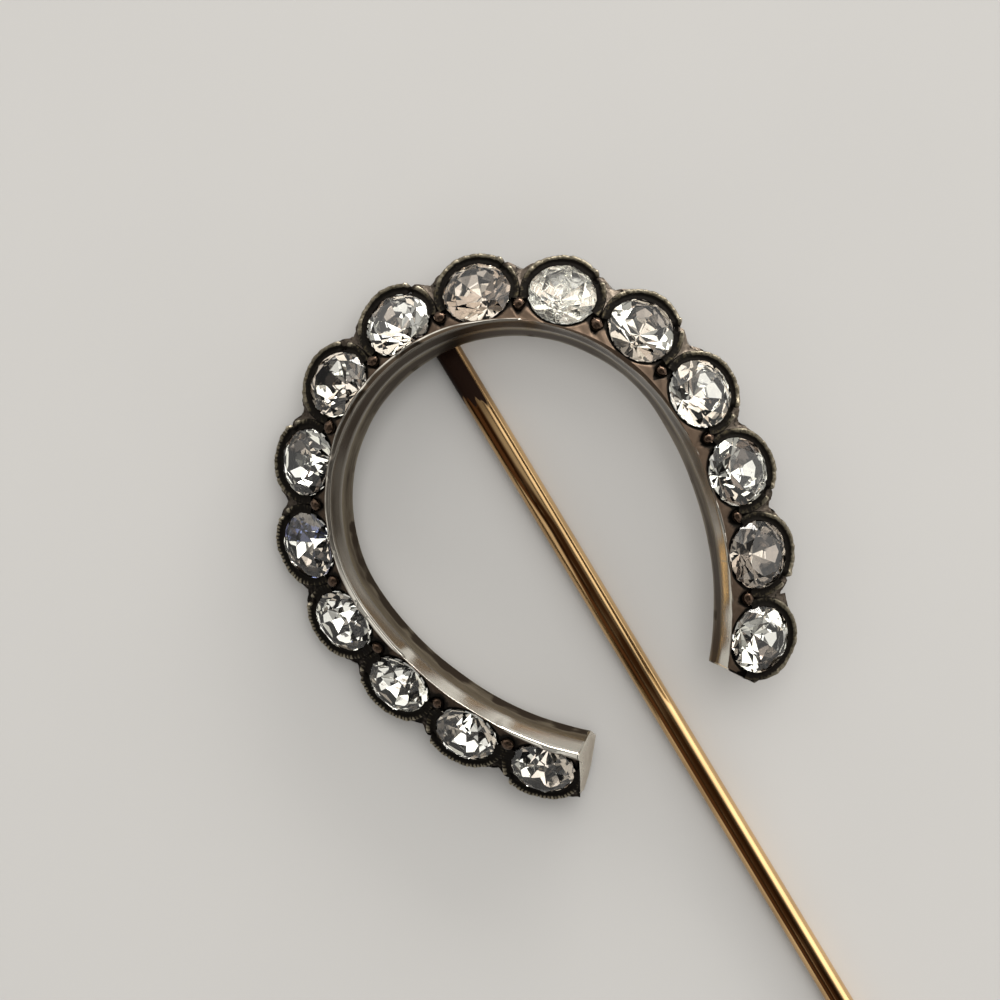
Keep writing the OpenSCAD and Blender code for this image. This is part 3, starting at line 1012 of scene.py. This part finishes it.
def aged_metal_group():
    """Bright metal under patchy tarnish that is rubbed off where it is worn, and black stains."""
    group, nodes, given, result = new_group(
        "aged_metal",
        {"Place": "Vector", "Bright": "Color", "Dull": "Color", "Black": "Color",
         "Patches per mm": "Float", "Stretch": "Float", "Unevenness": "Float", "Wear": "Float",
         "Stain": "Float", "Polish": "Float", "Matt": "Float"},
        {"Color": "Color", "Roughness": "Float", "Metal": "Float"},
    )
    place = stretched(nodes, given["Place"], given["Stretch"])
    patches = nodes.noise(place, given["Patches per mm"], 5, 0.62)
    uneven = nodes.math("SUBTRACT", patches, 0.5)
    uneven = nodes.math("MULTIPLY", uneven, given["Unevenness"])
    worn = nodes.math("ADD", given["Wear"], uneven, clamp=True)
    stained = nodes.math("MULTIPLY_ADD", uneven, STAIN_UNEVEN, given["Stain"])
    stained = nodes.step(*STAIN_BEGINS, stained)
    color = nodes.mix(worn, given["Dull"], given["Bright"])
    color = nodes.mix(stained, color, given["Black"])
    rough = nodes.add("Mix", {0: worn, 2: given["Matt"], 3: given["Polish"]}, data_type="FLOAT")
    rough = nodes.math("MULTIPLY_ADD", stained, STAIN_ROUGH, rough.outputs[0])
    metal = nodes.math("MULTIPLY_ADD", stained, -STAIN_COVERS, 1.0)
    for name, value in (("Color", color), ("Roughness", rough), ("Metal", metal)):
        group.links.new(value, result[name])
    return group


def scratches_group():
    """Fine relief along the work: drawn lines and small dents."""
    group, nodes, given, result = new_group(
        "fine_scratches",
        {"Place": "Vector", "Lines per mm": "Float", "Stretch": "Float", "Dents": "Float"},
        {"Height": "Float"},
    )
    drawn = stretched(nodes, given["Place"], given["Stretch"])
    lines = nodes.noise(drawn, given["Lines per mm"], 3, 0.6)
    dents = nodes.noise(given["Place"], DENTS_PER_MM, 2)
    dents = nodes.math("MULTIPLY", dents, given["Dents"])
    height = nodes.math("ADD", lines, dents)
    group.links.new(height, result["Height"])
    return group


def start_material(name):
    material = bpy.data.materials.new(name)
    material.use_nodes = True
    return material, Nodes(material.node_tree)


def finish_material(nodes, inputs):
    """The surface shader with these inputs, and the material's output."""
    shader = nodes.add("BsdfPrincipled", inputs)
    nodes.add("OutputMaterial", {0: shader.outputs[0]})


def spread_value(nodes, label):
    return nodes.add("Attribute", attribute_name=label, attribute_type="GEOMETRY")


def metal_material(name, values, turned=False):
    """One of the pin's metals, with its own values for the tarnish and the scratches."""
    bright, dull, black, patches, polish, matt, uneven, along, lines, stretch, bump, depth = values
    material, nodes = start_material(name)
    place = spread_value(nodes, "place").outputs["Vector"]
    if turned:
        split = nodes.add("SeparateXYZ", {0: place})
        place = nodes.add("CombineXYZ", {0: split.outputs[1], 1: split.outputs[0]}).outputs[0]
    wear = spread_value(nodes, "wear").outputs["Fac"]
    stain = spread_value(nodes, "stain").outputs["Fac"]
    tarnish = nodes.add("Group", {"Place": place, "Bright": bright, "Dull": dull, "Black": black,
                                  "Patches per mm": patches, "Stretch": along, "Unevenness": uneven,
                                  "Wear": wear, "Stain": stain, "Polish": polish, "Matt": matt},
                        node_tree=AGED_METAL)
    scratches = nodes.add("Group", {"Place": place, "Lines per mm": lines, "Stretch": stretch,
                                    "Dents": DENTS}, node_tree=SCRATCHES)
    relief = nodes.add("Bump", {"Strength": bump, "Distance": depth * MM, "Height": scratches.outputs[0]})
    finish_material(nodes, {"Base Color": tarnish.outputs["Color"], "Metallic": tarnish.outputs["Metal"],
                            "Roughness": tarnish.outputs["Roughness"],
                            "Specular IOR Level": SOOT_GLOSS, "Normal": relief.outputs[0]})
    return material


def glass_material():
    material, nodes = start_material("clear_paste")
    place = nodes.add("TexCoord").outputs["Object"]
    tint = nodes.mix(nodes.noise(place, CLOUDS_PER_M, 1), CLEAR, CLOUDY)
    rough = nodes.step(*SCUFF_BEGINS, nodes.noise(place, SCUFFS_PER_M, 3))
    rough = nodes.math("MULTIPLY", rough, SCUFF_ROUGH)
    finish_material(nodes, {"Base Color": tint, "Roughness": rough, "IOR": PASTE_IOR,
                            "Transmission Weight": 1.0})
    return material


def foil_material(name, crackle, flash):
    """Bright foil behind a stone, toned from one facet to the next, with a tinted painted flash on a few
    facets.
    """
    material, nodes = start_material(name)
    place = nodes.add("TexCoord").outputs["Object"]
    tone = spread_value(nodes, "foil_tone").outputs["Fac"]
    brown = nodes.step(BROWN_TONE, BROWN_TONE + TONE_STEP, tone)
    color = nodes.mix(brown, FOIL_WHITE, FOIL_BROWN)
    dark = nodes.step(DARK_TONE, DARK_TONE + TONE_STEP, tone)
    color = nodes.mix(dark, color, FOIL_DARK)
    # A few facets get a painted flash: a glint painted into the foil's colour
    painted_flash_facets = nodes.math("LESS_THAN", tone, PAINTED_FLASH_SHARE)
    color = nodes.mix(painted_flash_facets, color, flash)
    spotted = nodes.step(*SPOT_BEGINS, nodes.noise(place, SPOTS_PER_M, 4))
    color = nodes.mix(spotted, color, FOIL_SPOT)
    cells = nodes.add("TexVoronoi", {"Vector": place, "Scale": CRACKS_PER_M}, feature="DISTANCE_TO_EDGE")
    cracks = nodes.math("SUBTRACT", 1.0, nodes.step(0.0, CRACK_W, cells.outputs[0]))
    cracks = nodes.math("MULTIPLY", cracks, crackle)
    color = nodes.mix(cracks, color, FOIL_CRACK)
    rough = nodes.math("MULTIPLY_ADD", crackle, CRACKLE_ROUGH, FOIL_ROUGH)
    rough = nodes.math("MULTIPLY_ADD", spotted, SPOT_ROUGH, rough)
    relief = nodes.add("Bump", {"Strength": 0.3, "Distance": 0.01 * MM, "Height": cracks})
    finish_material(nodes, {"Base Color": color, "Metallic": 1.0, "Roughness": rough,
                            "Normal": relief.outputs[0]})
    return material


def paper_material():
    material, nodes = start_material("pale_floor")
    place = nodes.add("TexCoord").outputs["Object"]
    color = nodes.mix(nodes.noise(place, PATCHES_ON_FLOOR, 3), PAPER, PALE_PAPER)
    finish_material(nodes, {"Base Color": color, "Roughness": 0.9, "Specular IOR Level": 0.2})
    return material


# Glass, foils and dents: shares, sizes of their patterns, and roughness
PASTE_IOR = 1.62
SOOT_GLOSS = 0.03
DENTS = 0.3
DENTS_PER_MM = 3
PATCHES_ON_FLOOR = 60
BROWN_TONE = 0.62
DARK_TONE = 0.87
PAINTED_FLASH_SHARE = 0.035
TONE_STEP = 0.02
CLOUDS_PER_M = 900
SCUFFS_PER_M = 5000
SCUFF_BEGINS = (0.62, 0.75)
SCUFF_ROUGH = 0.06
SPOTS_PER_M = 1500
SPOT_BEGINS = (0.64, 0.76)
CRACKS_PER_M = 2600
CRACK_W = 0.12
FOIL_ROUGH = 0.02
CRACKLE_ROUGH = 0.1
SPOT_ROUGH = 0.15
AGED_METAL = aged_metal_group()
SCRATCHES = scratches_group()

# Colours
SILVER = (0.62, 0.59, 0.53, 1)
# Bright end of the upper facet: worn silver that also paints its highlight strip
WORN_SILVER_AND_SHEEN = (0.86, 0.83, 0.75, 1)
CREAM = (0.84, 0.79, 0.66, 1)
OLIVE_CREAM = (0.58, 0.51, 0.37, 1)
SLATE = (0.058, 0.043, 0.030, 1)
# Black of the stains, which also paints the shadow at the rims' lips
SOOT_AND_SHADE = (0.006, 0.005, 0.004, 1)
COPPERY = (0.15, 0.108, 0.078, 1)
DARK_COPPER = (0.06, 0.042, 0.03, 1)
GRITTY = (0.21, 0.175, 0.14, 1)
DARK_GRIT = (0.045, 0.036, 0.029, 1)
OLIVE = (0.05, 0.041, 0.025, 1)
PALE_OLIVE = (0.48, 0.43, 0.33, 1)
UMBER = (0.07, 0.045, 0.03, 1)
STREAK = (0.018, 0.013, 0.009, 1)
BRONZE = (0.085, 0.058, 0.042, 1)
PALE_BRONZE = (0.42, 0.34, 0.25, 1)
GOLD = (0.86, 0.575, 0.28, 1)
# Dull end of the stem's gold, which also paints its dark reflection band
DARK_GOLD = (0.08, 0.030, 0.009, 1)
SCORCHED = (0.012, 0.006, 0.004, 1)
CLEAR = (1, 1, 1, 1)
CLOUDY = (0.94, 0.95, 0.93, 1)
FOIL_WHITE = (0.98, 0.975, 0.93, 1)
FOIL_BROWN = (0.53, 0.47, 0.415, 1)
FOIL_DARK = (0.13, 0.11, 0.095, 1)
FOIL_SPOT = (0.3, 0.24, 0.17, 1)
FOIL_CRACK = (0.85, 0.84, 0.78, 1)
# Colours of the painted flashes on the foils
WHITE_FLASH = (0.95, 0.95, 0.95, 1)
BLUE_FLASH = (0.30, 0.36, 0.66, 1)
AMBER_FLASH = (0.95, 0.66, 0.14, 1)
PAPER = (0.42, 0.414, 0.405, 1)
PALE_PAPER = (0.445, 0.438, 0.428, 1)

# Bright, dull and stained colour, patches per mm, roughness where polished and where matt,
# unevenness and stretch of the patches, scratches per mm and their stretch, strength and depth
SETTING_METALS = {
    "wall_upper_facet": (WORN_SILVER_AND_SHEEN, SLATE, SOOT_AND_SHADE, 2.2, 0.12, 0.28, 0.25, 8, 12, 20, 0.25, 0.004),
    "wall_lower_facet": (OLIVE_CREAM, SLATE, STREAK, 4, 0.18, 0.34, 0.6, 8, 12, 20, 0.25, 0.004),
    "front_ledge": (COPPERY, DARK_COPPER, SOOT_AND_SHADE, 2.4, 0.38, 0.5, 0.8, 1, 5, 2, 0.4, 0.01),
    "front_field": (GRITTY, DARK_GRIT, SOOT_AND_SHADE, 5, 0.34, 0.5, 1.2, 1, 6, 1.3, 0.8, 0.03),
    "milled_rim": (PALE_OLIVE, OLIVE, SOOT_AND_SHADE, 6, 0.24, 0.45, 1.1, 1, 9, 1.3, 0.6, 0.015),
    "grain": (BRONZE, UMBER, SOOT_AND_SHADE, 2, 0.12, 0.3, 0.5, 1, 12, 20, 0.1, 0.004),
    "cup": (SOOT_AND_SHADE, SOOT_AND_SHADE, SOOT_AND_SHADE, 2, 0.6, 0.7, 0.5, 1, 12, 20, 0.1, 0.004),
    "closed_back": (SILVER, SLATE, SOOT_AND_SHADE, 0.8, 0.25, 0.45, 0.7, 1, 12, 20, 0.1, 0.004),
    "limb_end": (CREAM, PALE_BRONZE, UMBER, 1.5, 0.2, 0.35, 0.8, 1, 12, 20, 0.1, 0.004),
}
STEM_GOLD = (GOLD, DARK_GOLD, SCORCHED, 1.6, 0.13, 0.22, 0.6, 18, 9, 40, 0.15, 0.004)


# The scene round the pin, with its camera in millimetres and the rest in metres
CAMERA_AT = Vector((3.92, 28.97, 83.27)) * MM
CAMERA_AIM = Vector((-0.69, 22.55, 0)) * MM
CAMERA_TURN = math.radians(-31.16)
CAMERA_LENS = 72
CAMERA_CLIP = (0.005, 10)
FLOOR_SIZE = 1.2
FLOOR_DROP = 0.02 * MM
WARM_LIGHT = (1.0, 0.97, 0.93)
SOFT_LIGHT = (1.0, 0.99, 0.97)
SKY_COLOR = (1.0, 0.975, 0.93, 1)
KEY_SIZE = (0.4, 0.16)
CEILING_SIZE = (0.5, 0.5)
KEY_DISTANCE = 0.5
CEILING_DISTANCE = 0.6
KEY_POWER = 2.7
SOFT_POWER = 1.5
KEY_ASIDE = (0.36, 0.93)
KEY_HEIGHT = 0.31
CEILING_LEAN = 0.35

# The sky's light: where its parts begin and end, and how bright they are
SIDE_BEGINS = (-0.1, 0.5)
SIDE_GLOW = (1.1, 0.1)
SIDE_ENDS = (0.66, 0.86)
PATCHES_IN_SKY = 2.2
PATCH_EDGE = (0.46, 0.54)
PATCH_GLOW = 0.8
BARE_GLOW = 0.03
OVERHEAD_BEGINS = (0.8, 0.92)
OVERHEAD_DIMS = 0.45


def add_camera():
    """The photograph's angle: nearly from above, with the stem running down to the right."""
    camera = add_object("camera", bpy.data.cameras.new("camera"))
    camera.data.lens = CAMERA_LENS
    camera.data.clip_start, camera.data.clip_end = CAMERA_CLIP
    view = (CAMERA_AIM - CAMERA_AT).normalized()
    north = Vector((0, 1, 0))
    north = (north - view * north.dot(view)).normalized()
    up = Matrix.Rotation(-CAMERA_TURN, 3, view) @ north
    right = view.cross(up)
    camera.matrix_world = Matrix.Translation(CAMERA_AT) @ Matrix((right, up, -view)).transposed().to_4x4()
    bpy.context.scene.camera = camera
    return right, up


def add_light(name, direction, distance, size, power, color, mirrored=True, in_glass=True):
    """A soft light that faces the head; not all show mirrored in metal or through the stones."""
    lamp = bpy.data.lights.new(name, "AREA")
    lamp.shape = "RECTANGLE"
    lamp.size, lamp.size_y = size
    lamp.energy = power
    lamp.color = color
    light = add_object(name, lamp)
    direction = direction.normalized()
    light.location = CAMERA_AIM + direction * distance
    light.rotation_euler = direction.to_track_quat("Z", "Y").to_euler()
    light.visible_glossy = mirrored
    light.visible_transmission = in_glass


def add_sky(toward):
    """Soft light from all round: brighter on the side of the key, dim overhead, in soft patches."""
    world = bpy.data.worlds.new("studio")
    world.use_nodes = True
    nodes = Nodes(world.node_tree)
    place = nodes.add("TexCoord").outputs["Generated"]
    height = nodes.add("SeparateXYZ", {0: place}).outputs[2]
    facing = nodes.add("VectorMath", {0: place, 1: toward}, operation="DOT_PRODUCT").outputs["Value"]
    side = nodes.step(*SIDE_BEGINS, facing)
    low = nodes.math("SUBTRACT", 1.0, nodes.step(*SIDE_ENDS, height))
    patches = nodes.step(*PATCH_EDGE, nodes.noise(place, PATCHES_IN_SKY, 1.5))
    light = nodes.math("MULTIPLY_ADD", side, *SIDE_GLOW)
    light = nodes.math("MULTIPLY", light, low)
    overhead = nodes.step(*OVERHEAD_BEGINS, height)
    glow = nodes.math("MULTIPLY_ADD", overhead, -OVERHEAD_DIMS, PATCH_GLOW)
    glow = nodes.math("MULTIPLY_ADD", patches, glow, BARE_GLOW)
    light = nodes.math("ADD", light, glow)
    sky = nodes.add("Background", {"Color": SKY_COLOR, "Strength": light})
    nodes.add("OutputWorld", {0: sky.outputs[0]})
    bpy.context.scene.world = world


def add_floor():
    """A plain sheet for the pin to lie on, a hair under it."""
    mesh = bpy.data.meshes.new("floor")
    half = FLOOR_SIZE / 2
    corners = [(-half, -half, 0), (half, -half, 0), (half, half, 0), (-half, half, 0)]
    mesh.from_pydata(corners, [], [range(4)])
    mesh.materials.append(paper_material())
    floor = add_object("floor", mesh)
    floor.location.z = -FLOOR_DROP


def add_studio():
    right, up = add_camera()
    level = Vector((0, 0, 1))
    toward = (KEY_ASIDE[0] * right + KEY_ASIDE[1] * up).normalized()
    add_light("key", toward + KEY_HEIGHT * level, KEY_DISTANCE, KEY_SIZE, KEY_POWER, WARM_LIGHT)
    above = CEILING_LEAN * toward + level
    for name, in_glass in (("ceiling", True), ("fill", False)):
        add_light(name, above, CEILING_DISTANCE, CEILING_SIZE, SOFT_POWER, SOFT_LIGHT,
                  mirrored=False, in_glass=in_glass)
    add_sky(toward)
    add_floor()
    bpy.context.scene.view_settings.view_transform = "Standard"


metals = [metal_material(name, values) for name, values in SETTING_METALS.items()]
make_piece("horseshoe_setting", setting_mesh(), metals, "silver", "setting")
stem_gold = metal_material("stem_gold", STEM_GOLD, turned=True)
make_piece("pin_stem", stem_mesh(), [stem_gold], "gold", "stem")
PASTE = glass_material()
# Stones whose painted flashes are blue or amber; the others get white ones
PAINTED_FLASHES = {2: BLUE_FLASH, 4: BLUE_FLASH, 8: BLUE_FLASH, 10: AMBER_FLASH, 13: AMBER_FLASH}
CRACKLED_STONE = 9
for index in range(STONE_COUNT):
    number = f"{index + 1:02d}"
    crackle = float(index == CRACKLED_STONE)
    foil = foil_material(f"foil_{number}", crackle, PAINTED_FLASHES.get(index, WHITE_FLASH))
    paste = stone_mesh(f"paste_{number}", index)
    make_piece(f"paste_{number}", paste, [PASTE, foil], "paste", f"stone_{number}")
add_studio()
